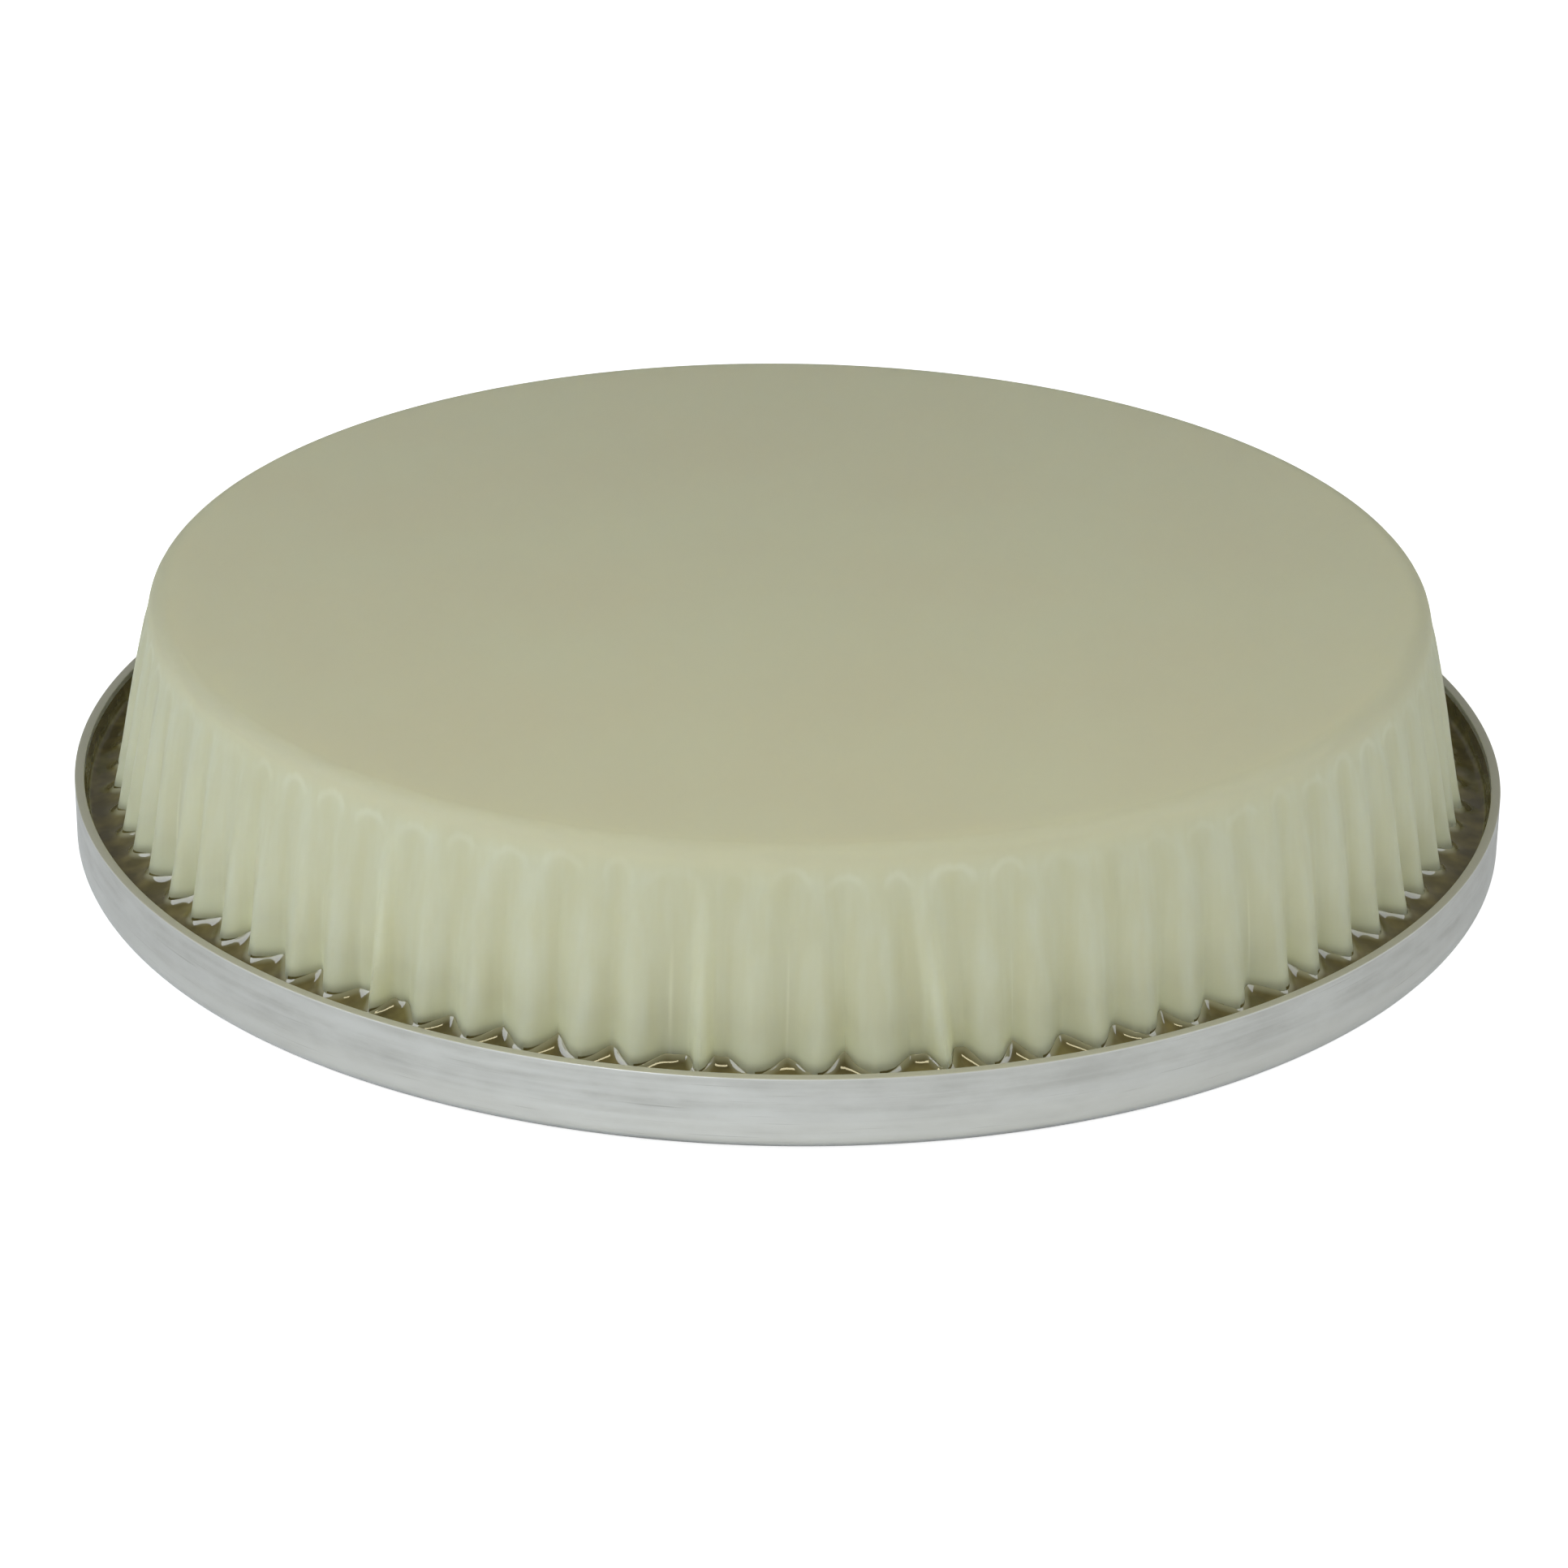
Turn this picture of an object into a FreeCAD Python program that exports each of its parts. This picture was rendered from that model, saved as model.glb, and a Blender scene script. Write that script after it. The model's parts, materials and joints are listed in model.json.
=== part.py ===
"""Potted hand-drum head: a two-ply film with a fluted collar, cast in resin into a rolled U-channel hoop.

Millimetres, +Z up. The origin is on the drum's axis, on the plane that the hoop stands on, and -Y is the front.
"""
import FreeCAD, Part
import math
import os

from FreeCAD import Vector

# Film: two plies laminated, then formed over a shell's rim, whose diameter is the head's nominal size
SHOULDER_INSIDE_DIAMETER = 215.9
SHOULDER_INSIDE_RADIUS = 2.8
HEAD_HEIGHT = 44.0
BASE_FILM_THICKNESS = 0.25
FIBRE_PLY_THICKNESS = 0.2
COLLAR_TAPER_DEGREES = 8.5
FLUTE_COUNT = 80
FLUTE_RUN_OUT = 4.0
FLUTE_SWELL = 14.0

# Hoop: a strip rolled to a U and bent to a ring, open side up, that clears the shell's rim all round
HOOP_BORE_CLEARANCE = 0.8
HOOP_WIDTH = 12.75
HOOP_HEIGHT = 12.6
HOOP_SHEET = 1.6
HOOP_BEND_INSIDE_RADIUS = 1.3
HOOP_EDGE_CHAMFER = 0.2
HOOP_SEAM_GAP = 0.3

# Resin: poured into the channel round the film's lower edge, where it climbs the film
FILM_EDGE_ABOVE_FLOOR = 2.2
RESIN_BELOW_HOOP_EDGE = 3.3
CLIMB_AT_CREST = 0.5
CLIMB_IN_VALLEY = 2.2
CLIMB_REACH = 4.6

# Worked out from the sizes above
AXIS = Vector(0, 0, 1)
ORIGIN = Vector(0, 0, 0)
TAPER = math.radians(COLLAR_TAPER_DEGREES)
QUARTER_PITCH = math.pi / (2 * FLUTE_COUNT)
FIRST_CREST = 2 * QUARTER_PITCH
HOOP_BORE_RADIUS = SHOULDER_INSIDE_DIAMETER / 2 + HOOP_BORE_CLEARANCE
HOOP_OUTER_RADIUS = HOOP_BORE_RADIUS + HOOP_WIDTH
CHANNEL_OUTER_RADIUS = HOOP_OUTER_RADIUS - HOOP_SHEET
CHANNEL_INNER_RADIUS = HOOP_BORE_RADIUS + HOOP_SHEET
FILM_EDGE_Z = HOOP_SHEET + FILM_EDGE_ABOVE_FLOOR
RESIN_Z = HOOP_HEIGHT - RESIN_BELOW_HOOP_EDGE
CREST_CONTACT_Z = RESIN_Z + CLIMB_AT_CREST
VALLEY_CONTACT_Z = RESIN_Z + CLIMB_IN_VALLEY
CONTACT_Z = (CREST_CONTACT_Z + VALLEY_CONTACT_Z) / 2

# The film is set out on its inside face, and a layer is so many millimetres outside that face
INSIDE = 0.0
INTERFACE = BASE_FILM_THICKNESS
OUTSIDE = BASE_FILM_THICKNESS + FIBRE_PLY_THICKNESS
SHOULDER_CENTRE_RADIUS = SHOULDER_INSIDE_DIAMETER / 2 - SHOULDER_INSIDE_RADIUS
SHOULDER_CENTRE_Z = HEAD_HEIGHT - OUTSIDE - SHOULDER_INSIDE_RADIUS


def point(radius, angle, z):
    """A point by its distance from the axis, its angle from +X in radians, and its height."""
    return Vector(radius * math.cos(angle), radius * math.sin(angle), z)


def arc(start, peak, end, half_angle):
    """A circular arc as one quadratic span, from its two ends and the point where its end tangents meet."""
    curve = Part.BSplineCurve()
    weights = [1.0, math.cos(half_angle), 1.0]
    curve.buildFromPolesMultsKnots([start, peak, end], [3, 3], [0.0, 1.0], False, 2, weights)
    return curve.toShape()


def ruled_faces(upper, lower):
    """Straight-lined faces between two rows of edges."""
    return [Part.makeRuledSurface(above, below) for above, below in zip(upper, lower)]


def sewn_solid(faces):
    """The solid that a closed set of faces bounds."""
    shell = Part.Shell(faces)
    shell.sewShape()
    return Part.Solid(shell)


def shoulder_end(layer):
    """Radius and height where the round of the shoulder runs into the collar's cone."""
    reach = SHOULDER_INSIDE_RADIUS + layer
    radius = SHOULDER_CENTRE_RADIUS + reach * math.cos(TAPER)
    z = SHOULDER_CENTRE_Z + reach * math.sin(TAPER)
    return radius, z


def collar_radius(z):
    """Mean radius of the collar's inside face at a height."""
    radius, top = shoulder_end(INSIDE)
    return radius + (top - z) * math.tan(TAPER)


def flute_angle(z):
    """Half angle of a flute's arcs: the flat disc can't shrink, so its spare length goes into the arcs.

    An arc of half angle a is a / sin(a) times as long as its chord, which Newton's rule solves for a.
    """
    radius, top = shoulder_end(INSIDE)
    slant = (top - z) / math.cos(TAPER)
    spare = (radius + slant) / collar_radius(z)
    angle = math.sqrt(6 * (spare - 1))
    for _ in range(5):
        sine = math.sin(angle)
        angle -= (angle / sine - spare) * sine * sine / (sine - angle * math.cos(angle))
    return angle


def flute_peak(flank_radius, half_width, turn, drop):
    """Radius and drop of the point where an arc's end tangents meet, so that its middle is lowered by a drop."""
    lever = drop * (1 + 1 / math.cos(turn))
    radius = flank_radius * (math.cos(half_width) + math.sin(half_width) * math.tan(turn))
    return radius + lever * math.tan(TAPER), lever


def collar_section(layer, crest_z, valley_z, angle):
    """Edges round one face of the collar: a crest arc and a valley arc in each flute, at their own heights."""
    z = (crest_z + valley_z) / 2
    out = layer / math.cos(TAPER)
    across = collar_radius(z) + out * math.cos(angle)
    along = out * math.sin(angle)
    flank_radius = math.hypot(across, along)
    half_crest = QUARTER_PITCH + math.atan2(along, across)
    half_valley = 2 * QUARTER_PITCH - half_crest
    crest_turn = angle + QUARTER_PITCH
    valley_turn = QUARTER_PITCH - angle
    crest_radius, crest_drop = flute_peak(flank_radius, half_crest, crest_turn, z - crest_z)
    valley_radius, valley_drop = flute_peak(flank_radius, half_valley, valley_turn, z - valley_z)
    edges = []
    for flute in range(FLUTE_COUNT):
        crest = FIRST_CREST + 4 * QUARTER_PITCH * flute
        valley = crest + 2 * QUARTER_PITCH
        start = point(flank_radius, crest - half_crest, z)
        turn = point(flank_radius, crest + half_crest, z)
        end = point(flank_radius, valley + half_valley, z)
        edges.append(arc(start, point(crest_radius, crest, z - crest_drop), turn, crest_turn))
        edges.append(arc(turn, point(valley_radius, valley, z - valley_drop), end, valley_turn))
    return edges


def level_section(layer, z):
    """The collar's section at one height."""
    return collar_section(layer, z, z, flute_angle(z))


def contact_section(layer):
    """The line where the resin meets the film, low on the crests and high in the valleys."""
    return collar_section(layer, CREST_CONTACT_Z, VALLEY_CONTACT_Z, flute_angle(CONTACT_Z))


def potted_faces(layer):
    """The stretch of the collar that stands in the resin."""
    return ruled_faces(contact_section(layer), level_section(layer, FILM_EDGE_Z))


def collar_faces(layer):
    """One fluted face of the collar, from the shoulder down to the film's lower edge."""
    shoulder_z = shoulder_end(layer)[1]
    top = collar_section(layer, shoulder_z, shoulder_z, 0.0)
    run_out = level_section(layer, shoulder_z - FLUTE_RUN_OUT)
    swell = level_section(layer, shoulder_z - FLUTE_SWELL)
    faces = ruled_faces(top, run_out) + ruled_faces(run_out, swell) + ruled_faces(swell, contact_section(layer))
    return faces + potted_faces(layer)


def crown_faces(layer):
    """The playing surface and the round of the shoulder, revolved in one profile."""
    reach = SHOULDER_INSIDE_RADIUS + layer
    middle_angle = (TAPER + math.pi / 2) / 2
    middle_radius = SHOULDER_CENTRE_RADIUS + reach * math.cos(middle_angle)
    end_radius, end_z = shoulder_end(layer)
    centre = point(0.0, -QUARTER_PITCH, SHOULDER_CENTRE_Z + reach)
    rim = point(SHOULDER_CENTRE_RADIUS, -QUARTER_PITCH, SHOULDER_CENTRE_Z + reach)
    middle = point(middle_radius, -QUARTER_PITCH, SHOULDER_CENTRE_Z + reach * math.sin(middle_angle))
    end = point(end_radius, -QUARTER_PITCH, end_z)
    profile = Part.Wire([Part.makeLine(centre, rim), Part.Arc(rim, middle, end).toShape()])
    return profile.revolve(ORIGIN, AXIS, 360).Faces


def film_edge(inner, outer):
    """The cut lower edge of the film between two layers."""
    rims = [Part.Wire(level_section(layer, FILM_EDGE_Z)) for layer in (outer, inner)]
    return Part.makeFace(rims, "Part::FaceMakerBullseye")


def ply(inner, outer):
    """One ply of the film between two layers."""
    faces = [film_edge(inner, outer)]
    for layer in (inner, outer):
        faces += crown_faces(layer) + collar_faces(layer)
    return sewn_solid(faces)


def edges_at(shape, z):
    """The round edges of a shape that lie at a height."""
    return [edge for edge in shape.Edges if edge.BoundBox.ZLength < 1e-6 and abs(edge.CenterOfMass.z - z) < 1e-6]


def ring(inner_radius, outer_radius, bottom, top, bottom_round):
    """A ring about the axis whose two bottom edges are rounded."""
    base = Vector(0, 0, bottom)
    disc = Part.makeCylinder(outer_radius, top - bottom, base)
    blank = disc.cut(Part.makeCylinder(inner_radius, top - bottom, base))
    return blank.makeFillet(bottom_round, edges_at(blank, bottom))


def hoop_channel():
    """The rolled U channel with its broken top edges, cut through at the butt seam."""
    bend = HOOP_BEND_INSIDE_RADIUS + HOOP_SHEET
    blank = ring(HOOP_BORE_RADIUS, HOOP_OUTER_RADIUS, 0, HOOP_HEIGHT, bend)
    groove = ring(CHANNEL_INNER_RADIUS, CHANNEL_OUTER_RADIUS, HOOP_SHEET, HOOP_HEIGHT, HOOP_BEND_INSIDE_RADIUS)
    channel = blank.cut(groove)
    channel = channel.makeChamfer(HOOP_EDGE_CHAMFER, edges_at(channel, HOOP_HEIGHT))
    seam = Part.makeBox(HOOP_SEAM_GAP, HOOP_OUTER_RADIUS, HOOP_HEIGHT, Vector(-HOOP_SEAM_GAP / 2, 0, 0))
    return channel.cut(seam).Solids[0]


def circle_edges(radius, z):
    """A circle in as many arcs as the collar has, to draw the resin's surface to."""
    peak = radius / math.cos(QUARTER_PITCH)
    edges = []
    for index in range(2 * FLUTE_COUNT):
        middle = FIRST_CREST + 2 * QUARTER_PITCH * index
        start = point(radius, middle - QUARTER_PITCH, z)
        end = point(radius, middle + QUARTER_PITCH, z)
        edges.append(arc(start, point(peak, middle, z), end, QUARTER_PITCH))
    return edges


def channel_profile(outer_foot):
    """The outline of the pour from its flat outer surface, along the channel's inside, to the inner wall's top."""
    bend = HOOP_BEND_INSIDE_RADIUS
    eighth = bend * (1 - math.sqrt(0.5))
    floor = HOOP_SHEET
    outer = CHANNEL_OUTER_RADIUS
    inner = CHANNEL_INNER_RADIUS
    places = [
        (outer_foot, RESIN_Z),
        (outer, RESIN_Z),
        (outer, floor + bend),
        (outer - eighth, floor + eighth),
        (outer - bend, floor),
        (inner + bend, floor),
        (inner + eighth, floor + eighth),
        (inner, floor + bend),
        (inner, CONTACT_Z),
    ]
    foot, brim, wall, bend_out, floor_out, floor_in, bend_in, inner_wall, inner_top = [
        point(radius, -QUARTER_PITCH, z) for radius, z in places
    ]
    return Part.Wire([
        Part.makeLine(foot, brim),
        Part.makeLine(brim, wall),
        Part.Arc(wall, bend_out, floor_out).toShape(),
        Part.makeLine(floor_out, floor_in),
        Part.Arc(floor_in, bend_in, inner_wall).toShape(),
        Part.makeLine(inner_wall, inner_top),
    ])


def potting_resin():
    """The cast ring: it fills the channel, holds the film's edge in a slot and climbs the flutes."""
    outer_foot = collar_radius(CONTACT_Z) + CLIMB_REACH
    faces = channel_profile(outer_foot).revolve(ORIGIN, AXIS, 360).Faces
    faces += ruled_faces(contact_section(OUTSIDE), circle_edges(outer_foot, RESIN_Z))
    faces += ruled_faces(contact_section(INSIDE), circle_edges(CHANNEL_INNER_RADIUS, CONTACT_Z))
    faces += potted_faces(OUTSIDE) + potted_faces(INSIDE)
    faces.append(film_edge(INSIDE, OUTSIDE))
    return sewn_solid(faces)


def main():
    """Build every piece and write it under its own name."""
    pieces = {
        "hoop_channel": hoop_channel(),
        "potting_resin": potting_resin(),
        "base_film": ply(INSIDE, INTERFACE),
        "fibre_ply": ply(INTERFACE, OUTSIDE),
    }
    os.makedirs("parts", exist_ok=True)
    for name, shape in pieces.items():
        shape.exportStep(f"parts/{name}.step")


main()
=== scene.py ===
"""A potted hand-drum head: cream film whose fluted collar is cast in resin into an aluminium channel."""

import json
import math

import bmesh
import bpy
import numpy as np
from mathutils import Matrix, Vector


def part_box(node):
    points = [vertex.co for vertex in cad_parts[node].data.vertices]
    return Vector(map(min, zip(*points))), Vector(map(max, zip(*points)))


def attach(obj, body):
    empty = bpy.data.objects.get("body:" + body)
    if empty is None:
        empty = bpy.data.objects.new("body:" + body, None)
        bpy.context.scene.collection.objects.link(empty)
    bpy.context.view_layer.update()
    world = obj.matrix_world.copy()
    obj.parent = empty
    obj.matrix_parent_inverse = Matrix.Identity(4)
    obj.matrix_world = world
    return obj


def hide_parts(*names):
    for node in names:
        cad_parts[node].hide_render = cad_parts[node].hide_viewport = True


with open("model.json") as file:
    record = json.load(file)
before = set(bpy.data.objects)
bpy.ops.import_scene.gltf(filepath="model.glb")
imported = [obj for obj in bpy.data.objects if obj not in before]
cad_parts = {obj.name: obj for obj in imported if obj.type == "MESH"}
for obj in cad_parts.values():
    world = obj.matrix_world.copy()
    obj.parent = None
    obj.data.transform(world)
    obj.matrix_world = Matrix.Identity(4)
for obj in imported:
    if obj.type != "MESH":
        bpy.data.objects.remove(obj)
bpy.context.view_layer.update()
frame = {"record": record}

MM = 0.001
PAPER_WIDTH = 4.0

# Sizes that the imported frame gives
MOUNTS = {mount["name"]: mount for mount in frame["record"]["mounts"]}
HOOP_OUTER_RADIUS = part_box("hoop_channel")[1].x
HOOP_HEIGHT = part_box("hoop_channel")[1].z
HOOP_BORE_RADIUS = MOUNTS["shell_bore"]["dims"]["r_mm"] * MM
HOOP_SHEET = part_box("potting_resin")[0].z
CHANNEL_OUTER_RADIUS = HOOP_OUTER_RADIUS - HOOP_SHEET
CHANNEL_INNER_RADIUS = HOOP_BORE_RADIUS + HOOP_SHEET
HEAD_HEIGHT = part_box("fibre_ply")[1].z
FILM_EDGE_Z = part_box("fibre_ply")[0].z
PLY_JOINT_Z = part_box("base_film")[1].z
INSIDE_Z = MOUNTS["bearing_edge_seat"]["pos_m"][2]
BASE_FILM = PLY_JOINT_Z - INSIDE_Z
WHOLE_FILM = HEAD_HEIGHT - INSIDE_Z

# Sizes of the hoop's strip that the frame doesn't name
HOOP_BEND = 1.3 * MM
HOOP_LIP = 0.15 * MM
HOOP_SEAM = 0.3 * MM

# The film's collar
SHOULDER_CLEARANCE = 1.1 * MM
SHOULDER_ROUND = 2.8 * MM
COLLAR_TAPER = math.radians(8.5)
COLLAR_BULGE = 0.75 * MM
FLUTE_COUNT = 80
FLUTE_PITCH = 2 * math.pi / FLUTE_COUNT
FLUTE_TOP = 4.0 * MM
FLUTE_ARCH = 2.2 * MM
FLUTE_START = 2.4 * MM
BAY_TOP = 4.5 * MM
CREASE_DEPTH = 0.1 * MM
ROUND_CENTRE_RADIUS = HOOP_BORE_RADIUS - SHOULDER_CLEARANCE - SHOULDER_ROUND
ROUND_CENTRE_Z = INSIDE_Z - SHOULDER_ROUND
ROUND_RUN = SHOULDER_ROUND * (math.pi / 2 - COLLAR_TAPER)

# Share of the film's spare length that flutes take at their tops, and what is added evenly down the collar
# and close to its foot
FLUTE_SHARE_TOP = 0.28
FLUTE_SHARE_DOWN = 0.75
FLUTE_SHARE_FOOT = 0.95
FOOT_POWER = 6

# The pour, and how its surface climbs what it wets
RESIN_LEVEL = HOOP_HEIGHT - 4.4 * MM
WET_SLOPE = 1.15
LEVEL_REACH = 1.8 * MM
WALL_CLIMB = 3.2 * MM
WALL_CLIMB_REACH = 0.25 * MM

# Steps round a flute and round the hoop, and rows of points: on the flat, down the collar, in the resin, and
# over the resin from the film to the channel's wall
FLUTE_STEPS = 20
HOOP_STEPS = 720
FLAT_ROW_SHARES = np.array([0.3, 0.6, 0.8, 0.92, 0.98])
COLLAR_ROW_SHARES = np.linspace(0, 1, 41) ** 1.25
POTTED_ROW_SHARES = np.linspace(0, 1, 6)[1:]
WALL_ROW_GAPS = np.array([0.08, 0.05, 0.03, 0.015, 0.006, 0.0])
RESIN_ROW_SHARES = np.append(np.linspace(0, 0.92, 27) ** 1.7, 1 - WALL_ROW_GAPS)
SHARP_EDGE = math.radians(62)

# Sides of the film's contour that draw on a place in the resin: those of two flutes either way
NEAR_SIDES = 2 * FLUTE_STEPS

# Rounds in which a value that depends on itself settles
FLUTE_ANGLE_ROUNDS = 5
PULL_ROUNDS = 12
CONTACT_ROUNDS = 4

# How each flute differs from the next, from a seeded draw, with crest 0 just right of the front
draw = np.random.default_rng(84)
CREST_SHIFT = draw.uniform(-0.09, 0.09, FLUTE_COUNT)
CREST_LEAN = draw.normal(0.0, 0.05, FLUTE_COUNT)
CREST_HEIGHT = draw.uniform(0.85, 1.2, FLUTE_COUNT)
CREST_BREADTH = draw.uniform(0.7, 1.15, FLUTE_COUNT)
VALLEY_DEPTH = draw.uniform(0.85, 1.3, FLUTE_COUNT)
FINE_CREASES = draw.normal(0.0, 1.0, FLUTE_COUNT * FLUTE_STEPS)
FINE_CREASES = (np.roll(FINE_CREASES, 1) + 2 * FINE_CREASES + np.roll(FINE_CREASES, -1)) / 4
VALLEY_TOP = draw.uniform(0.0, 1.4 * MM, FLUTE_COUNT)
VALLEY_WIDTH = draw.uniform(3.4 * MM, 5.8 * MM, FLUTE_COUNT)
COLUMNS = np.arange(FLUTE_COUNT * FLUTE_STEPS) / FLUTE_STEPS

# Four flutes at the front stand out from the rest. A crest's breadth is a power: the higher, the narrower.
PINCHED_CRESTS = (-8, -2)
BROAD_CREST = 1
CREASED_CREST = 2
for pinched in PINCHED_CRESTS:
    CREST_BREADTH[pinched] = 6.5
CREST_BREADTH[BROAD_CREST] = 0.5
CREST_BREADTH[CREASED_CREST] = 5.0
CREST_LEAN[CREASED_CREST] = 0.5

# The film's creams: on the flat, in its clouds, for painted shade round the shoulder, formed down the collar,
# in streaks there that also paint the crests lighter than the bays, and for painted light near the resin. The
# fibre-faced ply is a trace bluer than the smooth one.
SMOOTH_CREAMS = {"flat": "#BABA9B", "cloud": "#BAB899", "drawn": "#B3B395",
                 "formed": "#B9BA98", "streak": "#C0C4AB", "soaked": "#D0D3B0"}
FIBRE_CREAMS = {"flat": "#BABA9C", "cloud": "#BAB89A", "drawn": "#B3B396",
                "formed": "#B9BA99", "streak": "#C0C4AC", "soaked": "#D0D3B1"}

# Places of a colour mix's sockets, which share their names with others: OVER covers UNDER by a SHARE
SHARE, UNDER, OVER, MIX = 0, 6, 7, 2

# Places of a range's sockets: the result goes from FIRST to LAST as the value goes from LOW to HIGH
LOW, HIGH, FIRST, LAST = 1, 2, 3, 4

# Settings that many nodes have
COLOUR = {"data_type": "RGBA"}
EASED = {"interpolation_type": "SMOOTHSTEP"}


def linear(colour):
    """Linear RGBA of an sRGB hex colour."""
    parts = [int(colour[place:place + 2], 16) / 255 for place in (1, 3, 5)]
    return [part / 12.92 if part <= 0.04045 else ((part + 0.055) / 1.055) ** 2.4 for part in parts] + [1.0]


# Meshes: every piece is a stack of rows that run round the axis

def lofted(name, rows, joined_rows=False, joined_columns=True, centres=(), end_caps=False):
    """A mesh over rows of points.

    Its rows can close from last to first or over a centre at each end, and a strip's two ends can have caps.
    """
    count = len(rows[0])
    points = np.concatenate(list(rows) + [np.array([centre]) for centre in centres])
    row_pairs = [(row, (row + 1) % len(rows)) for row in range(len(rows) if joined_rows else len(rows) - 1)]
    columns = np.arange(count if joined_columns else count - 1)
    after = (columns + 1) % count
    faces = []
    for row, below in row_pairs:
        quads = [row * count + columns, row * count + after, below * count + after, below * count + columns]
        faces += np.stack(quads).T.tolist()
    for end, row in zip(range(len(centres)), (0, len(rows) - 1)):
        centre = len(rows) * count + end
        sides = zip(columns.tolist(), after.tolist())
        faces += [[centre, row * count + a, row * count + b] for a, b in sides]
    if end_caps:
        faces += [[row * count + end for row in range(len(rows))] for end in (0, count - 1)]
    mesh = bpy.data.meshes.new(name)
    mesh.from_pydata(points.tolist(), [], faces)
    shell = bmesh.new()
    shell.from_mesh(mesh)
    bmesh.ops.recalc_face_normals(shell, faces=shell.faces)
    shell.to_mesh(mesh)
    shell.free()
    mesh.shade_smooth()
    mesh.set_sharp_from_angle(angle=SHARP_EDGE)
    return mesh


def note(mesh, name, values):
    """Keep a number for each point of a mesh, for its material to read."""
    kept = mesh.attributes.new(name, "FLOAT", "POINT")
    numbers = np.full(len(mesh.vertices), values.flat[0], np.float32)
    numbers[:values.size] = values.ravel()
    kept.data.foreach_set("value", numbers)


def piece(mesh, material, slot, *nodes):
    """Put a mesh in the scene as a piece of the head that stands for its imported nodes."""
    mesh.materials.append(material)
    made = bpy.data.objects.new(mesh.name, mesh)
    bpy.context.scene.collection.objects.link(made)
    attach(made, "root")
    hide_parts(*nodes)


def ring(radius, height, angles):
    """A row of points round the axis."""
    parts = [radius * np.cos(angles), radius * np.sin(angles), np.full(angles.shape, height)]
    return np.stack(parts, axis=-1)


def bend(radius, height, size, start, end, steps):
    """Points of a section round a bend, from one angle in degrees to another."""
    angles = np.radians(np.linspace(start, end, steps + 1))
    return [(radius + size * math.cos(angle), height + size * math.sin(angle)) for angle in angles]


# Film

def between(values, turn):
    """A value for each flute, eased from one crest to the next. A turn counts flutes round the head."""
    crest = np.floor(turn).astype(int)
    ease = (1 - np.cos(np.pi * (turn - crest))) / 2
    return values[crest % FLUTE_COUNT] * (1 - ease) + values[(crest + 1) % FLUTE_COUNT] * ease


def run_at(height):
    """Length down the film from the edge of the flat to a height on the collar."""
    round_end_z = ROUND_CENTRE_Z + SHOULDER_ROUND * math.sin(COLLAR_TAPER)
    return ROUND_RUN + (round_end_z - height) / math.cos(COLLAR_TAPER)


def flute_half_depth(run, radius):
    """How far flutes stand out and in: a flat disc can't shrink, so its spare length goes into arcs.

    An arc of half angle a is a / sin(a) times as long as its chord, which Newton's rule solves for a.
    """
    spare = np.maximum((ROUND_CENTRE_RADIUS + run) / radius, 1 + 1e-6)
    angle = np.sqrt(6 * (spare - 1))
    for _ in range(FLUTE_ANGLE_ROUNDS):
        sine = np.sin(angle)
        angle = angle - (angle / sine - spare) * sine**2 / (sine - angle * np.cos(angle))
    return radius * FLUTE_PITCH / 4 * np.tan(angle / 2)


def film_inside(turn, run):
    """Points of the film's inside face at turns round the head and lengths down from the flat."""
    rounded = np.minimum(run, ROUND_RUN) / SHOULDER_ROUND
    down = np.maximum(run - ROUND_RUN, 0.0)
    share = down / (run_at(FILM_EDGE_Z) - ROUND_RUN)
    out = np.sin(rounded)
    up = np.cos(rounded)
    bulge = COLLAR_BULGE * np.sin(np.pi * share)
    radius = ROUND_CENTRE_RADIUS + SHOULDER_ROUND * out + down * math.sin(COLLAR_TAPER) + bulge
    height = ROUND_CENTRE_Z + SHOULDER_ROUND * up - down * math.cos(COLLAR_TAPER)
    crest = np.round(turn).astype(int) % FLUTE_COUNT
    valley = between(VALLEY_DEPTH, turn - 0.5)
    rise = ((1 + np.cos(2 * np.pi * turn)) / 2) ** CREST_BREADTH[crest]
    top = FLUTE_TOP + FLUTE_ARCH * rise + VALLEY_TOP[np.floor(turn).astype(int) % FLUTE_COUNT] * (1 - rise)
    begun = np.clip((run - top) / FLUTE_START, 0, 1)
    taken = FLUTE_SHARE_TOP + FLUTE_SHARE_DOWN * share + FLUTE_SHARE_FOOT * share**FOOT_POWER
    growth = begun**2 * (3 - 2 * begun) * taken
    stand = growth * flute_half_depth(run, radius) * (rise * (CREST_HEIGHT[crest] + valley) - valley)
    column = np.round(turn * FLUTE_STEPS).astype(int) % FINE_CREASES.size
    stand = stand + CREASE_DEPTH * share * FINE_CREASES[column]
    lean = between(CREST_LEAN, turn) * (run / run_at(RESIN_LEVEL) - 0.5)
    angle = -np.pi / 2 + FLUTE_PITCH * (turn + 0.5 + between(CREST_SHIFT, turn) + lean)
    radius = radius + stand * out
    return np.stack([radius * np.cos(angle), radius * np.sin(angle), height + stand * up], axis=-1)


def bay_depth(turn, run):
    """How far inside a bay between two flutes each point lies. Bays are arched at the top, like niches."""
    valley = np.floor(turn).astype(int) % FLUTE_COUNT
    half = VALLEY_WIDTH[valley] / 2
    across = np.abs(turn % 1 - 0.5) * FLUTE_PITCH * HOOP_BORE_RADIUS
    above = np.maximum(BAY_TOP + VALLEY_TOP[valley] + half - run, 0.0)
    return half - np.hypot(across, above)


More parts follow.
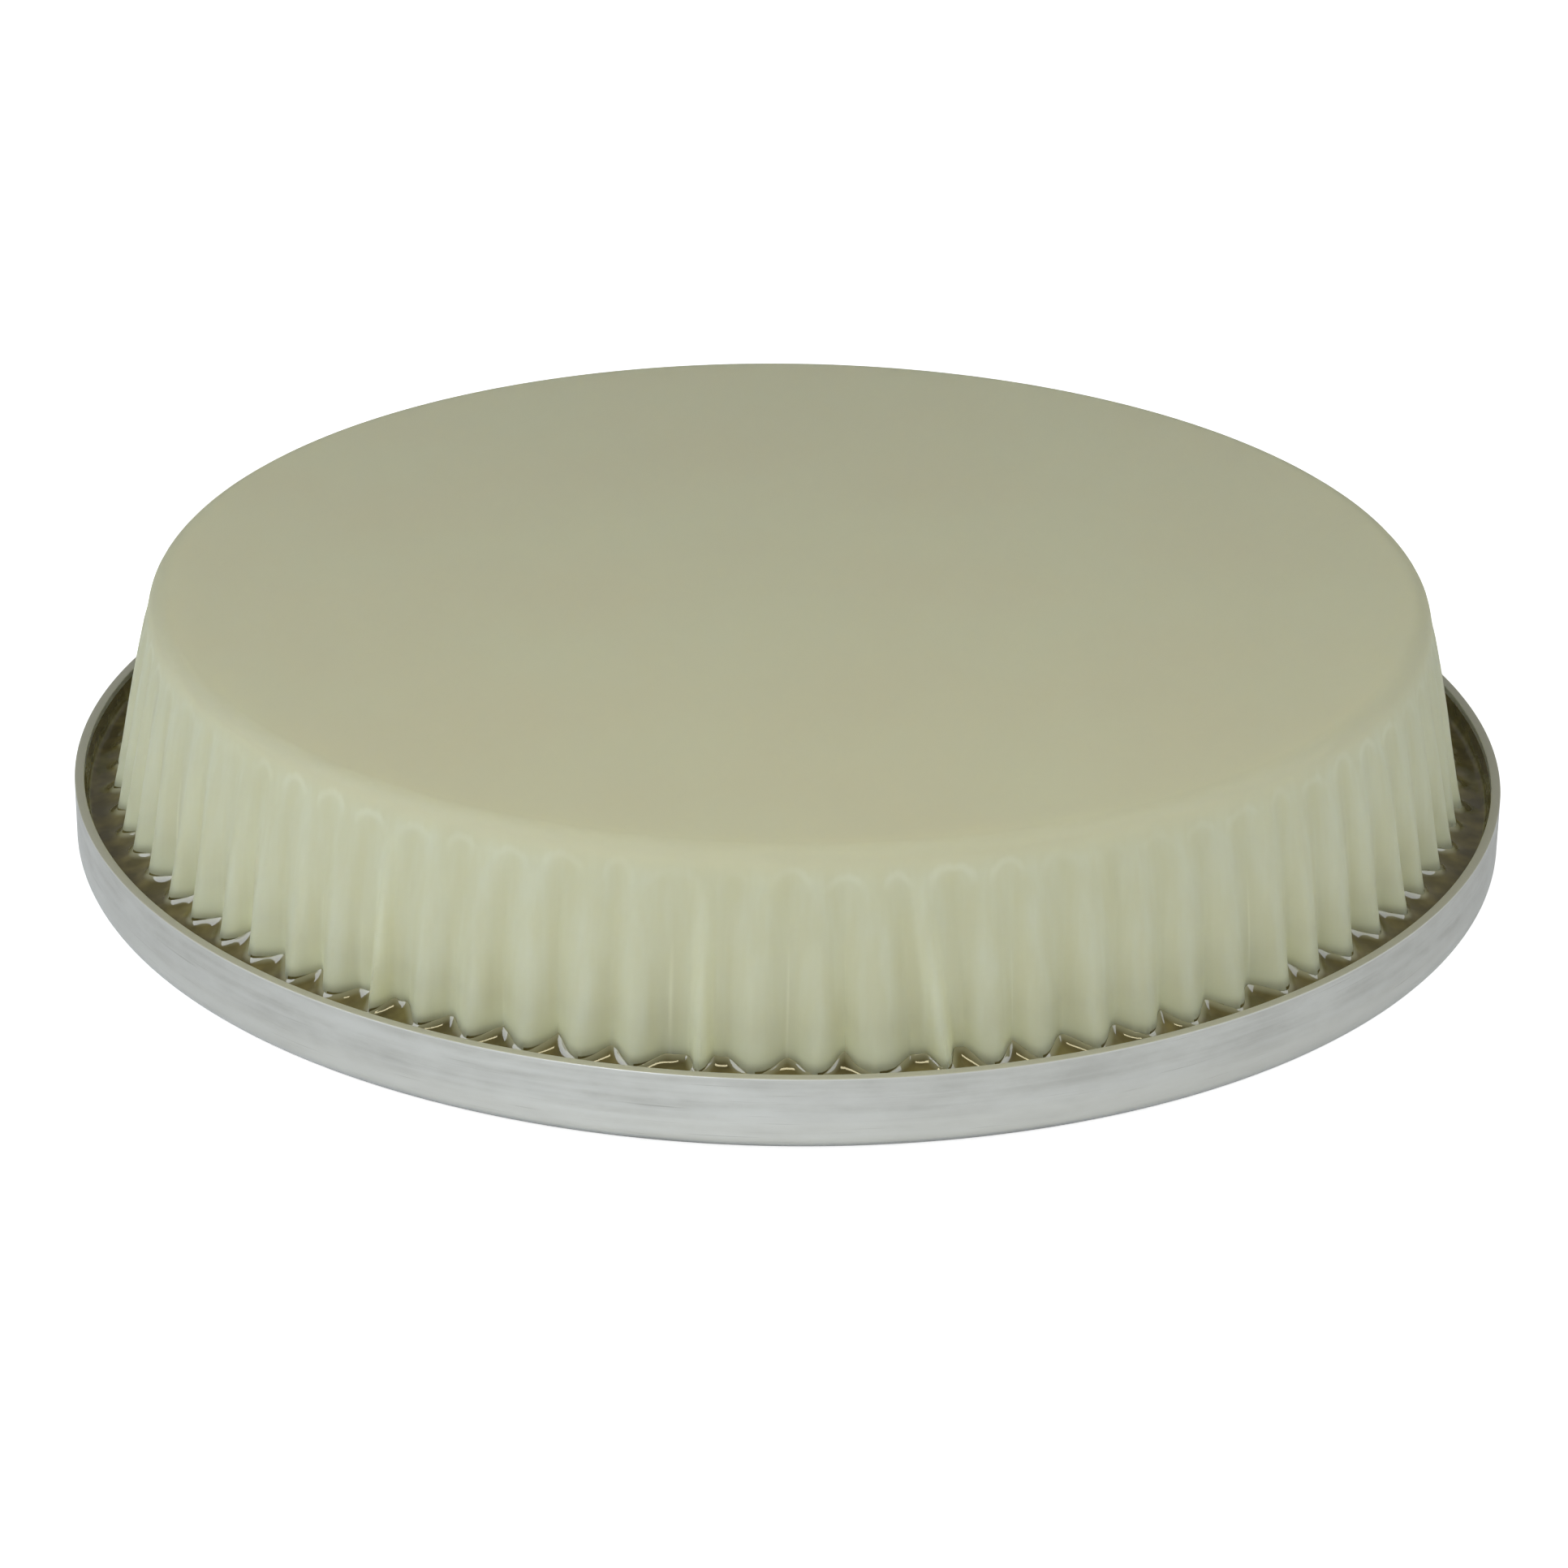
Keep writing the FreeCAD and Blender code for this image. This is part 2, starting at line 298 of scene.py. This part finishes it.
def film_layer(inside, thickness):
    """The film's inside face moved outwards by a thickness, square to itself."""
    along = np.roll(inside, -1, axis=1) - np.roll(inside, 1, axis=1)
    outward = np.cross(np.gradient(inside, axis=0), along)
    outward /= np.linalg.norm(outward, axis=-1, keepdims=True)
    outward[0] = (0.0, 0.0, 1.0)
    return inside + thickness * outward


def wetting_pull(contour):
    """How hard each side of the film's contour must draw the resin up, for one slope all along the contact.

    Sides that stand out are helped by their neighbours and sides between flutes are hindered, by the Bessel
    function K1 of their distance, which the line with the fraction comes close to.
    """
    side = np.roll(contour, -1, axis=0) - contour
    length = np.linalg.norm(side, axis=-1)
    middle = contour + side / 2
    outward = np.stack([side[:, 1], -side[:, 0]], axis=-1) / length[:, None]
    pull = np.ones(len(contour))
    for _ in range(PULL_ROUNDS):
        helped = np.zeros(len(contour))
        for step in range(1, NEAR_SIDES):
            for way in (step, -step):
                away = (middle - np.roll(middle, way, axis=0)) / LEVEL_REACH
                apart = np.linalg.norm(away, axis=-1)
                facing = np.sum(outward * away, axis=-1) / apart
                helped += np.roll(pull * length, way) * facing * np.exp(-apart) * (1 / apart + 0.65)
        pull = (pull + 1 - helped / (np.pi * LEVEL_REACH)) / 2
    return pull


def resin_lift(places, contour):
    """How far the resin climbs at places in plan, and how far each is from the film's contour.

    Where gravity levels a liquid and a wall draws it up, each bit of wall lifts it by the Bessel function K0
    of their distance, which the line with the logarithm comes close to.
    """
    pull = wetting_pull(contour)
    lift = np.zeros(places.shape[:-1])
    gap = np.full(places.shape[:-1], np.inf)
    for step in range(-NEAR_SIDES, NEAR_SIDES + 1):
        start = np.roll(contour, step, axis=0)
        side = np.roll(contour, step - 1, axis=0) - start
        length = np.linalg.norm(side, axis=-1)
        along = np.clip(np.sum((places - start) * side, axis=-1) / length**2, 0, 1)
        gap = np.minimum(gap, np.linalg.norm(places - start - along[..., None] * side, axis=-1))
        # Each half of a side draws from its middle
        for middle in (0.25, 0.75):
            apart = np.linalg.norm(places - start - middle * side, axis=-1) / LEVEL_REACH
            drawn = np.exp(-apart) * np.log(1 + 1.12 / apart + 1.02 / np.sqrt(apart))
            lift += np.roll(pull, step) * length / 2 * drawn
    return WET_SLOPE / np.pi * lift, gap


def film_rows():
    """Inside face of the collar in rows down to the resin and in it.

    With it come each point's length down the film, the length at which each column meets the resin, and the
    row that does.
    """
    contact = np.full(COLUMNS.size, run_at(RESIN_LEVEL + WET_SLOPE * LEVEL_REACH))
    for _ in range(CONTACT_ROUNDS):
        near = np.stack([contact - MM, contact, contact + MM])
        contour = film_layer(film_inside(COLUMNS, near), WHOLE_FILM)
        lift = resin_lift(contour[1, :, :2], contour[1, :, :2])[0]
        contact = run_at(RESIN_LEVEL + lift)
    in_resin = contact + POTTED_ROW_SHARES[:, None] * (run_at(FILM_EDGE_Z) - contact)
    run = np.concatenate([COLLAR_ROW_SHARES[:, None] * contact, in_resin])
    return film_inside(COLUMNS, run), run, contact, len(COLLAR_ROW_SHARES) - 1


def ply(name, inside, inner, outer, run, contact):
    """One closed ply between two depths in the film, with the numbers that its material reads."""
    angles = np.arctan2(inside[0, :, 1], inside[0, :, 0])
    flat_radii = ROUND_CENTRE_RADIUS * FLAT_ROW_SHARES
    sides = []
    for depth in (outer, inner):
        flat = [ring(radius, INSIDE_Z + depth, angles) for radius in flat_radii]
        sides.append(flat + list(film_layer(inside, depth)))
    rows = sides[0] + sides[1][::-1]
    centres = [(0.0, 0.0, INSIDE_Z + depth) for depth in (outer, inner)]
    mesh = lofted(name, rows, centres=centres)
    down = np.concatenate([np.tile(flat_radii[:, None] - ROUND_CENTRE_RADIUS, run.shape[1]), run])
    numbers = {"down_film": down, "above_resin": contact - down, "in_bay": bay_depth(COLUMNS, down)}
    for number, values in numbers.items():
        note(mesh, number, np.concatenate([values, values[::-1]]) / MM)
    return mesh


# Resin and hoop

def resin_pour(inside, contact_row):
    """The cast ring: it fills the channel, holds the film's edge in a slot and climbs the flutes."""
    outside = film_layer(inside, WHOLE_FILM)
    tops = []
    gaps = []
    for face, wall in ((outside, CHANNEL_OUTER_RADIUS), (inside, CHANNEL_INNER_RADIUS)):
        contact = face[contact_row]
        angles = np.arctan2(contact[:, 1], contact[:, 0])
        contact_radius = np.hypot(contact[:, 0], contact[:, 1])
        radius = contact_radius + RESIN_ROW_SHARES[:, None] * (wall - contact_radius)
        plan = np.stack([radius * np.cos(angles), radius * np.sin(angles)], axis=-1)
        wall_climb = WALL_CLIMB * np.exp(-np.abs(wall - radius) / WALL_CLIMB_REACH)
        lift, gap = resin_lift(plan, contact[:, :2])
        top = np.concatenate([plan, (RESIN_LEVEL + lift + wall_climb)[..., None]], axis=-1)
        top[0] = contact
        tops.append(top)
        gaps.append(gap)
    floor = HOOP_SHEET
    section = bend(CHANNEL_OUTER_RADIUS - HOOP_BEND, floor + HOOP_BEND, HOOP_BEND, 0, -90, 4)
    section += bend(CHANNEL_INNER_RADIUS + HOOP_BEND, floor + HOOP_BEND, HOOP_BEND, -90, -180, 4)
    angles = np.arctan2(outside[contact_row, :, 1], outside[contact_row, :, 0])
    walls = [ring(radius, height, angles) for radius, height in section]
    slot = list(inside[contact_row + 1:]) + list(outside[:contact_row:-1])
    mesh = lofted("potting_resin", list(tops[0]) + walls + list(tops[1][::-1]) + slot, joined_rows=True)
    spare_rows = len(mesh.vertices) // COLUMNS.size - len(RESIN_ROW_SHARES)
    far = np.full((spare_rows, COLUMNS.size), gaps[0].max())
    note(mesh, "film_gap", np.concatenate([gaps[0], far]) / MM)
    return mesh


def hoop_strip():
    """The rolled U channel with rounded lips, bent to a ring whose ends meet at a butt seam at the back."""
    out = HOOP_BEND + HOOP_SHEET
    lip_z = HOOP_HEIGHT - HOOP_LIP
    section = [(HOOP_OUTER_RADIUS, height) for height in np.linspace(lip_z - HOOP_LIP, out, 6)[:-1]]
    section += bend(HOOP_OUTER_RADIUS - out, out, out, 0, -90, 10)
    section += bend(HOOP_BORE_RADIUS + out, out, out, -90, -180, 10)
    section += bend(HOOP_BORE_RADIUS + HOOP_LIP, lip_z, HOOP_LIP, 180, 90, 4)
    section += bend(CHANNEL_INNER_RADIUS - HOOP_LIP, lip_z, HOOP_LIP, 90, 0, 4)
    section += bend(CHANNEL_INNER_RADIUS + HOOP_BEND, out, HOOP_BEND, 180, 270, 6)
    section += bend(CHANNEL_OUTER_RADIUS - HOOP_BEND, out, HOOP_BEND, -90, 0, 6)
    section += bend(CHANNEL_OUTER_RADIUS + HOOP_LIP, lip_z, HOOP_LIP, 180, 90, 4)
    section += bend(HOOP_OUTER_RADIUS - HOOP_LIP, lip_z, HOOP_LIP, 90, 0, 4)
    half_seam = HOOP_SEAM / 2 / HOOP_OUTER_RADIUS
    angles = np.linspace(np.pi / 2 + half_seam, 5 * np.pi / 2 - half_seam, HOOP_STEPS + 1)
    rows = [ring(radius, height, angles) for radius, height in section]
    mesh = lofted("hoop_channel", rows, joined_rows=True, joined_columns=False, end_caps=True)
    steps = np.linalg.norm(np.diff(np.array(section), axis=0, prepend=[section[0]]), axis=-1)
    note(mesh, "round_hoop", np.tile(angles * HOOP_OUTER_RADIUS, len(section)) / MM)
    note(mesh, "across_strip", np.repeat(np.cumsum(steps), angles.size) / MM)
    edges = np.array([float(height > lip_z + HOOP_LIP / 2) for _, height in section])
    note(mesh, "cut_edge", np.repeat(edges, angles.size))
    return mesh


# Materials: lengths that they read from a mesh are in millimetres

def add(tree, kind, inputs=None, **settings):
    """Add a node with its settings, and give each input a value or a link from another node's output."""
    node = tree.nodes.new("ShaderNode" + kind)
    for name, value in settings.items():
        setattr(node, name, value)
    for name, value in (inputs or {}).items():
        if isinstance(value, bpy.types.NodeSocket):
            tree.links.new(value, node.inputs[name])
        else:
            node.inputs[name].default_value = value
    return node


def new_material(name):
    """An empty material with its node tree and output."""
    material = bpy.data.materials.new(name)
    material.use_nodes = True
    material.node_tree.nodes.clear()
    return material, material.node_tree, add(material.node_tree, "OutputMaterial")


def film_material(name, creams, roughness, bump_strength):
    """Polyester film, laminated and formed: cloudy cream that lets some light through.

    It has painted shade round the shoulder, against the lamps' highlight on its round, and is streaked where
    it was formed down the collar, with painted shade in the bays between flutes, where the streaks are held
    back.
    It has a painted highlight along the arched tops of the bays, and it is lighter low in the middle of the
    widest bays, where it is creased. Near the resin it has painted light that makes it paler, and its foot
    has a resin stain with painted shade.
    """
    material, tree, output = new_material(name)
    cream = {part: linear(colour) for part, colour in creams.items()}
    place = add(tree, "TexCoord").outputs["Object"]
    down = add(tree, "Attribute", attribute_name="down_film").outputs["Fac"]
    above = add(tree, "Attribute", attribute_name="above_resin").outputs["Fac"]
    bay = add(tree, "Attribute", attribute_name="in_bay").outputs["Fac"]

    # Clouds 36 mm across on the flat, then the collar's tone, then a band of painted shade round the shoulder
    cloud = add(tree, "TexNoise", {"Vector": place, "Scale": 1 / (36 * MM), "Detail": 3.0}).outputs[0]
    clouded = add(tree, "MapRange", {"Value": cloud, LOW: 0.35, HIGH: 0.65}).outputs[0]
    flat = add(tree, "Mix", {SHARE: clouded, UNDER: cream["flat"], OVER: cream["cloud"]},
               **COLOUR).outputs[MIX]
    formed = add(tree, "MapRange", {"Value": down, LOW: 1.0, HIGH: 6.0}).outputs[0]
    walled = add(tree, "Mix", {SHARE: formed, UNDER: flat, OVER: cream["formed"]}, **COLOUR).outputs[MIX]
    # Painted shade over the shoulder's round, eased in from the flat and out down the collar
    shoulder_shade_start = add(tree, "MapRange", {"Value": down, LOW: -1.0, HIGH: 1.6}, **EASED).outputs[0]
    drawn = add(tree, "MapRange", {"Value": down, LOW: 2.0, HIGH: 4.2, FIRST: shoulder_shade_start, LAST: 0.0},
                **EASED).outputs[0]
    shoulder_shaded = add(tree, "Mix", {SHARE: drawn, UNDER: walled, OVER: cream["drawn"]}, **COLOUR).outputs[MIX]

    # Streaks: fibres are under 0.1 mm wide, and are drawn 2.2 mm wide and 60 mm long so that they show
    fibre_size = (1 / (2.2 * MM), 1 / (2.2 * MM), 1 / (60 * MM))
    pulled = add(tree, "Mapping", {"Vector": place, "Scale": fibre_size}).outputs[0]
    fibre = add(tree, "TexNoise", {"Vector": pulled, "Scale": 1.0, "Detail": 2.0}).outputs[0]
    # Painted shade and light: the pale streak tone is held back in the bays between flutes and given to the
    # crests
    crest_light_least = add(tree, "MapRange", {"Value": bay, LOW: -0.8, HIGH: 1.2, FIRST: 0.25, LAST: 0.0}).outputs[0]
    crest_light_most = add(tree, "MapRange", {"Value": bay, LOW: -0.8, HIGH: 1.2, FIRST: 0.8, LAST: 0.45}).outputs[0]
    fibres_and_crest_light = add(tree, "MapRange", {"Value": fibre, LOW: 0.36, HIGH: 0.72, FIRST: crest_light_least,
                                    LAST: crest_light_most}).outputs[0]
    streak = add(tree, "MapRange", {"Value": down, LOW: 3.0, HIGH: 6.0, FIRST: 0.0, LAST: fibres_and_crest_light}).outputs[0]
    streaked_and_shaded = add(tree, "Mix", {SHARE: streak, UNDER: shoulder_shaded, OVER: cream["streak"]}, **COLOUR).outputs[MIX]

    # Painted highlight on rims round the tops of the bays, about 1 mm wide, ragged and stronger in places
    tear = add(tree, "MapRange", {"Value": fibre, LOW: 0.3, HIGH: 0.7, FIRST: -0.25, LAST: 0.25}).outputs[0]
    ragged = add(tree, "Math", {0: bay, 1: tear}, operation="ADD").outputs[0]
    whitest = add(tree, "MapRange", {"Value": cloud, LOW: 0.4, HIGH: 0.6, FIRST: 0.05, LAST: 0.42}).outputs[0]
    rim_out = add(tree, "MapRange", {"Value": ragged, LOW: -1.4, HIGH: -0.4, FIRST: 0.0, LAST: whitest},
                  **EASED).outputs[0]
    rim = add(tree, "MapRange", {"Value": ragged, LOW: -0.3, HIGH: 0.6, FIRST: rim_out, LAST: 0.0},
              **EASED).outputs[0]
    rim_highlight = add(tree, "MapRange", {"Value": down, LOW: 5.8, HIGH: 8.0, FIRST: rim, LAST: 0.0}).outputs[0]
    rimmed = add(tree, "Mix", {SHARE: rim_highlight, UNDER: streaked_and_shaded, OVER: linear("#CBCFBA")},
                 **COLOUR).outputs[MIX]

    # Painted light over the last 7 mm to the resin, where the hoop and the resin shade it, and over the last
    # 1.7 mm a stain from a thin coat of resin with painted shade at the contact
    soaked = add(tree, "MapRange", {"Value": above, LOW: 0.0, HIGH: 7.0, FIRST: 1.0, LAST: 0.0},
                 **EASED).outputs[0]
    near_resin_lit = add(tree, "Mix", {SHARE: soaked, UNDER: rimmed, OVER: cream["soaked"]}, **COLOUR).outputs[MIX]
    foot_stain_and_shade = add(tree, "MapRange", {"Value": above, LOW: 0.0, HIGH: 1.7, FIRST: 0.36, LAST: 0.0},
               **EASED).outputs[0]
    stained_and_shaded = add(tree, "Mix", {SHARE: foot_stain_and_shade, UNDER: near_resin_lit, OVER: linear("#8B8966")}, **COLOUR).outputs[MIX]

    # Crease lines down the middle of bays that are over 4.9 mm wide
    middle = add(tree, "MapRange", {"Value": bay, LOW: 2.45, HIGH: 2.85, FIRST: 0.0, LAST: 0.5}).outputs[0]
    crease = add(tree, "MapRange", {"Value": down, LOW: 15.0, HIGH: 24.0, FIRST: 0.0,
                                    LAST: middle}).outputs[0]
    creased = add(tree, "Mix", {SHARE: crease, UNDER: stained_and_shaded, OVER: linear("#D3D5BA")},
                  **COLOUR).outputs[MIX]

    bump = add(tree, "Bump", {"Height": fibre, "Strength": bump_strength, "Distance": 0.05 * MM})
    shader = add(tree, "BsdfPrincipled", {
        "Base Color": creased,
        "Roughness": roughness,
        "IOR": 1.6,
        "Normal": bump.outputs[0],
        "Subsurface Weight": 0.8,
        "Subsurface Radius": (1.0, 0.9, 0.6),
        "Subsurface Scale": 8.0 * MM,
    }, subsurface_method="BURLEY")
    tree.links.new(shader.outputs[0], output.inputs["Surface"])
    return material


def cast_amber_resin():
    """Clear amber casting resin, poured and self-levelled, glossy as glass.

    It is olive where it is deep, with amber patches where light comes back from the channel below, and pale
    where it thins out over the film.
    """
    material, tree, output = new_material("amber_casting_resin_poured")
    place = add(tree, "TexCoord").outputs["Object"]
    gap = add(tree, "Attribute", attribute_name="film_gap").outputs["Fac"]

    # Patches 4.5 mm across, about half as wide as a flute
    depths = add(tree, "TexNoise", {"Vector": place, "Scale": 1 / (4.5 * MM), "Detail": 2.0}).outputs[0]
    lit = add(tree, "MapRange", {"Value": depths, LOW: 0.42, HIGH: 0.72, FIRST: 0.0, LAST: 0.7}).outputs[0]
    amber = add(tree, "Mix", {SHARE: lit, UNDER: linear("#59512B"), OVER: linear("#857A49")},
                **COLOUR).outputs[MIX]
    thin = add(tree, "MapRange", {"Value": gap, LOW: 0.0, HIGH: 1.1, FIRST: 0.75, LAST: 0.0},
               **EASED).outputs[0]
    colour = add(tree, "Mix", {SHARE: thin, UNDER: amber, OVER: linear("#A3A283")}, **COLOUR).outputs[MIX]

    # Slow ripples, 5 mm across, that were left when the pour set
    ripple = add(tree, "TexNoise", {"Vector": place, "Scale": 1 / (5 * MM), "Detail": 1.0}).outputs[0]
    bump = add(tree, "Bump", {"Height": ripple, "Strength": 0.15, "Distance": 0.2 * MM})
    shader = add(tree, "BsdfPrincipled", {
        "Base Color": colour,
        "Roughness": 0.03,
        "IOR": 1.55,
        "Normal": bump.outputs[0],
    })
    tree.links.new(shader.outputs[0], output.inputs["Surface"])
    return material


def mill_aluminium():
    """Mill-finish aluminium strip, roll-formed: soft grey with lines along it and dull, blurred reflections.

    It is cloudy from handling and has a painted reflection of the floor, lighter low on its outer wall, with
    a few scuffs, and its cut edges are rougher and stained by the resin.
    """
    material, tree, output = new_material("mill_finish_aluminium_rolled")
    along = add(tree, "Attribute", attribute_name="round_hoop").outputs["Fac"]
    across = add(tree, "Attribute", attribute_name="across_strip").outputs["Fac"]
    edge = add(tree, "Attribute", attribute_name="cut_edge").outputs["Fac"]
    strip = add(tree, "CombineXYZ", {"X": along, "Y": across}).outputs[0]

    # Roll lines are well under 0.1 mm apart, and are drawn 1.3 mm wide and 40 mm long so that they show
    drawn = add(tree, "Mapping", {"Vector": strip, "Scale": (1 / 40, 1 / 1.3, 1.0)}).outputs[0]
    lines = add(tree, "TexNoise", {"Vector": drawn, "Scale": 1.0, "Detail": 4.0}).outputs[0]
    lined = add(tree, "MapRange", {"Value": lines, LOW: 0.38, HIGH: 0.62}).outputs[0]
    plain = add(tree, "Mix", {SHARE: lined, UNDER: linear("#BDBFBF"), OVER: linear("#CDCFCF")},
                **COLOUR).outputs[MIX]

    # Marks of handling, 14 mm by 5 mm, about a fingertip's
    handled = add(tree, "Mapping", {"Vector": strip, "Scale": (1 / 14, 1 / 5, 1.0)}).outputs[0]
    cloud = add(tree, "TexNoise", {"Vector": handled, "Scale": 1.0, "Detail": 5.0,
                                   "Roughness": 0.6}).outputs[0]
    clouded = add(tree, "MapRange", {"Value": cloud, LOW: 0.35, HIGH: 0.65, FIRST: 0.0, LAST: 0.6}).outputs[0]
    cloudy = add(tree, "Mix", {SHARE: clouded, UNDER: plain, OVER: linear("#DADDDE")}, **COLOUR).outputs[MIX]

    # Painted reflection of the bright floor: lighter from the middle of the outer wall down, measured in mm
    # from its top
    floor_reflection_share = add(tree, "MapRange", {"Value": across, LOW: 5.0, HIGH: 8.5, FIRST: 0.0, LAST: 0.5},
                 **EASED).outputs[0]
    floor_reflected = add(tree, "Mix", {SHARE: floor_reflection_share, UNDER: cloudy, OVER: linear("#DADCDB")}, **COLOUR).outputs[MIX]

    # Scuffs 0.3 mm wide and 22 mm long, slightly off the strip's length
    slanted = add(tree, "Mapping", {"Vector": strip, "Rotation": (0, 0, math.radians(2)),
                                    "Scale": (1 / 22, 1 / 0.3, 1.0)}).outputs[0]
    scratch = add(tree, "TexNoise", {"Vector": slanted, "Scale": 1.0, "Detail": 2.0}).outputs[0]
    scuffed = add(tree, "MapRange", {"Value": scratch, LOW: 0.66, HIGH: 0.76, FIRST: 0.0,
                                     LAST: 0.45}).outputs[0]
    marked = add(tree, "Mix", {SHARE: scuffed, UNDER: floor_reflected, OVER: linear("#868885")}, **COLOUR).outputs[MIX]

    colour = add(tree, "Mix", {SHARE: edge, UNDER: marked, OVER: linear("#C8C7B8")}, **COLOUR).outputs[MIX]
    rolled = add(tree, "MapRange", {"Value": lined, FIRST: 0.36, LAST: 0.5}).outputs[0]
    rough = add(tree, "MapRange", {"Value": edge, FIRST: rolled, LAST: 0.7}).outputs[0]
    bump = add(tree, "Bump", {"Height": lines, "Strength": 0.35, "Distance": 0.03 * MM})
    shader = add(tree, "BsdfPrincipled", {
        "Base Color": colour,
        "Metallic": 1.0,
        "Roughness": rough,
        "Normal": bump.outputs[0],
    })
    tree.links.new(shader.outputs[0], output.inputs["Surface"])
    return material


def studio_paper():
    """Matt white paper that a view shows as white, with the head's shadow kept."""
    material, tree, output = new_material("matt_white_paper")
    seen = add(tree, "LightPath").outputs["Is Camera Ray"]
    matt = add(tree, "BsdfDiffuse", {"Color": linear("#EDEDEB")})
    glow = add(tree, "Emission", {"Color": linear("#FFFFFF"), "Strength": 0.7})
    white = add(tree, "AddShader", {0: matt.outputs[0], 1: glow.outputs[0]})
    surface = add(tree, "MixShader", {0: seen, 1: matt.outputs[0], 2: white.outputs[0]})
    tree.links.new(surface.outputs[0], output.inputs["Surface"])
    return material


# Studio: places and sizes are in metres

def lamp(name, place, aim, width, depth, radiance, colour):
    """A flat lamp whose face has a given radiance."""
    light = bpy.data.lights.new(name, "AREA")
    light.shape = "RECTANGLE"
    light.size = width
    light.size_y = depth
    light.energy = radiance * math.pi * width * depth
    light.color = linear(colour)[:3]
    made = bpy.data.objects.new(name, light)
    made.location = place
    made.rotation_euler = (Vector(aim) - Vector(place)).to_track_quat("-Z", "Y").to_euler()
    bpy.context.scene.collection.objects.link(made)


def room_light():
    """A room with a dim ceiling, lighter in front of the head than behind it, and white past the paper."""
    world = bpy.data.worlds.new("room_light")
    world.use_nodes = True
    tree = world.node_tree
    tree.nodes.clear()
    output = add(tree, "OutputWorld")
    direction = add(tree, "TexCoord").outputs["Generated"]
    way = add(tree, "SeparateXYZ", {"Vector": direction}).outputs
    walls = add(tree, "MapRange", {"Value": way["Y"], LOW: 0.3, HIGH: 0.85, FIRST: 0.68, LAST: 0.24})
    strength = add(tree, "MapRange", {"Value": way["Z"], LOW: 0.3, HIGH: 0.9, FIRST: walls.outputs[0],
                                      LAST: 0.23})
    room = add(tree, "Background", {"Color": linear("#FFFFFF"), "Strength": strength.outputs[0]})
    white = add(tree, "Background", {"Color": linear("#FFFFFF"), "Strength": 1.0})
    seen = add(tree, "LightPath").outputs["Is Camera Ray"]
    surface = add(tree, "MixShader", {0: seen, 1: room.outputs[0], 2: white.outputs[0]})
    tree.links.new(surface.outputs[0], output.inputs["Surface"])
    return world


def studio():
    """A white paper floor in a room, with a window in front, a softbox on each side and a tube lamp above."""
    half = PAPER_WIDTH / 2
    corners = [(-half, -half, 0), (half, -half, 0), (half, half, 0), (-half, half, 0)]
    mesh = bpy.data.meshes.new("paper_floor")
    mesh.from_pydata(corners, [], [(0, 1, 2, 3)])
    mesh.materials.append(studio_paper())
    floor = bpy.data.objects.new("paper_floor", mesh)
    bpy.context.scene.collection.objects.link(floor)
    bpy.context.scene.world = room_light()
    aim = (0.0, 0.0, 0.03)
    lamp("window", (-0.3, -0.82, 0.2), aim, width=0.35, depth=0.25, radiance=4.2, colour="#EDF3FB")
    lamp("left_softbox", (-0.74, -0.16, 0.66), aim, width=0.62, depth=0.3, radiance=5.6, colour="#EDF4FF")
    lamp("right_softbox", (0.74, -0.18, 0.62), aim, width=0.62, depth=0.3, radiance=3.9, colour="#EDF4FF")
    below = (0.0, -0.165, 0.0)
    lamp("tube_light", (0.0, -0.165, 0.34), below, width=0.29, depth=0.028, radiance=10.6, colour="#FFF5CC")


def photo_camera():
    """The camera at the photo's viewing angle, found by fitting the hoop's and the shoulder's outlines.

    The image's width and the focal length are in the photo's pixels.
    """
    image_width = 1932
    focal_length = 6269
    elevation = math.radians(24.71)
    roll = math.radians(0.75)
    distance = 7.236 * HOOP_OUTER_RADIUS
    shift_right = 0.005 * HOOP_OUTER_RADIUS
    shift_up = -0.041 * HOOP_OUTER_RADIUS
    right = Vector((1, 0, 0))
    forward = Vector((0, math.cos(elevation), -math.sin(elevation)))
    up = Vector((0, math.sin(elevation), math.cos(elevation)))
    data = bpy.data.cameras.new("photo_camera")
    data.sensor_width = 36.0
    data.lens = focal_length * data.sensor_width / image_width
    data.clip_start = 0.01
    camera = bpy.data.objects.new("photo_camera", data)
    turn = Matrix((right, up, -forward)).transposed() @ Matrix.Rotation(roll, 3, "Z")
    place = -shift_right * right - shift_up * up - distance * forward
    camera.matrix_world = Matrix.Translation(place) @ turn.to_4x4()
    bpy.context.scene.collection.objects.link(camera)
    bpy.context.scene.camera = camera


inside, film_run, contact_run, contact_row = film_rows()
piece(hoop_strip(), mill_aluminium(), "hoop", "hoop_channel")
piece(resin_pour(inside, contact_row), cast_amber_resin(), "resin", "potting_resin")
base_film = film_material("cream_polyester_film_smooth", SMOOTH_CREAMS, roughness=0.35, bump_strength=0.05)
piece(ply("base_film", inside, 0.0, BASE_FILM, film_run, contact_run), base_film, "base_film", "base_film")
fibre_film = film_material("cream_fibre_faced_film_formed", FIBRE_CREAMS, roughness=0.65, bump_strength=0.08)
fibre_ply = ply("fibre_ply", inside, BASE_FILM, WHOLE_FILM, film_run, contact_run)
piece(fibre_ply, fibre_film, "fibre_ply", "fibre_ply")
studio()
photo_camera()
bpy.context.scene.view_settings.view_transform = "Standard"
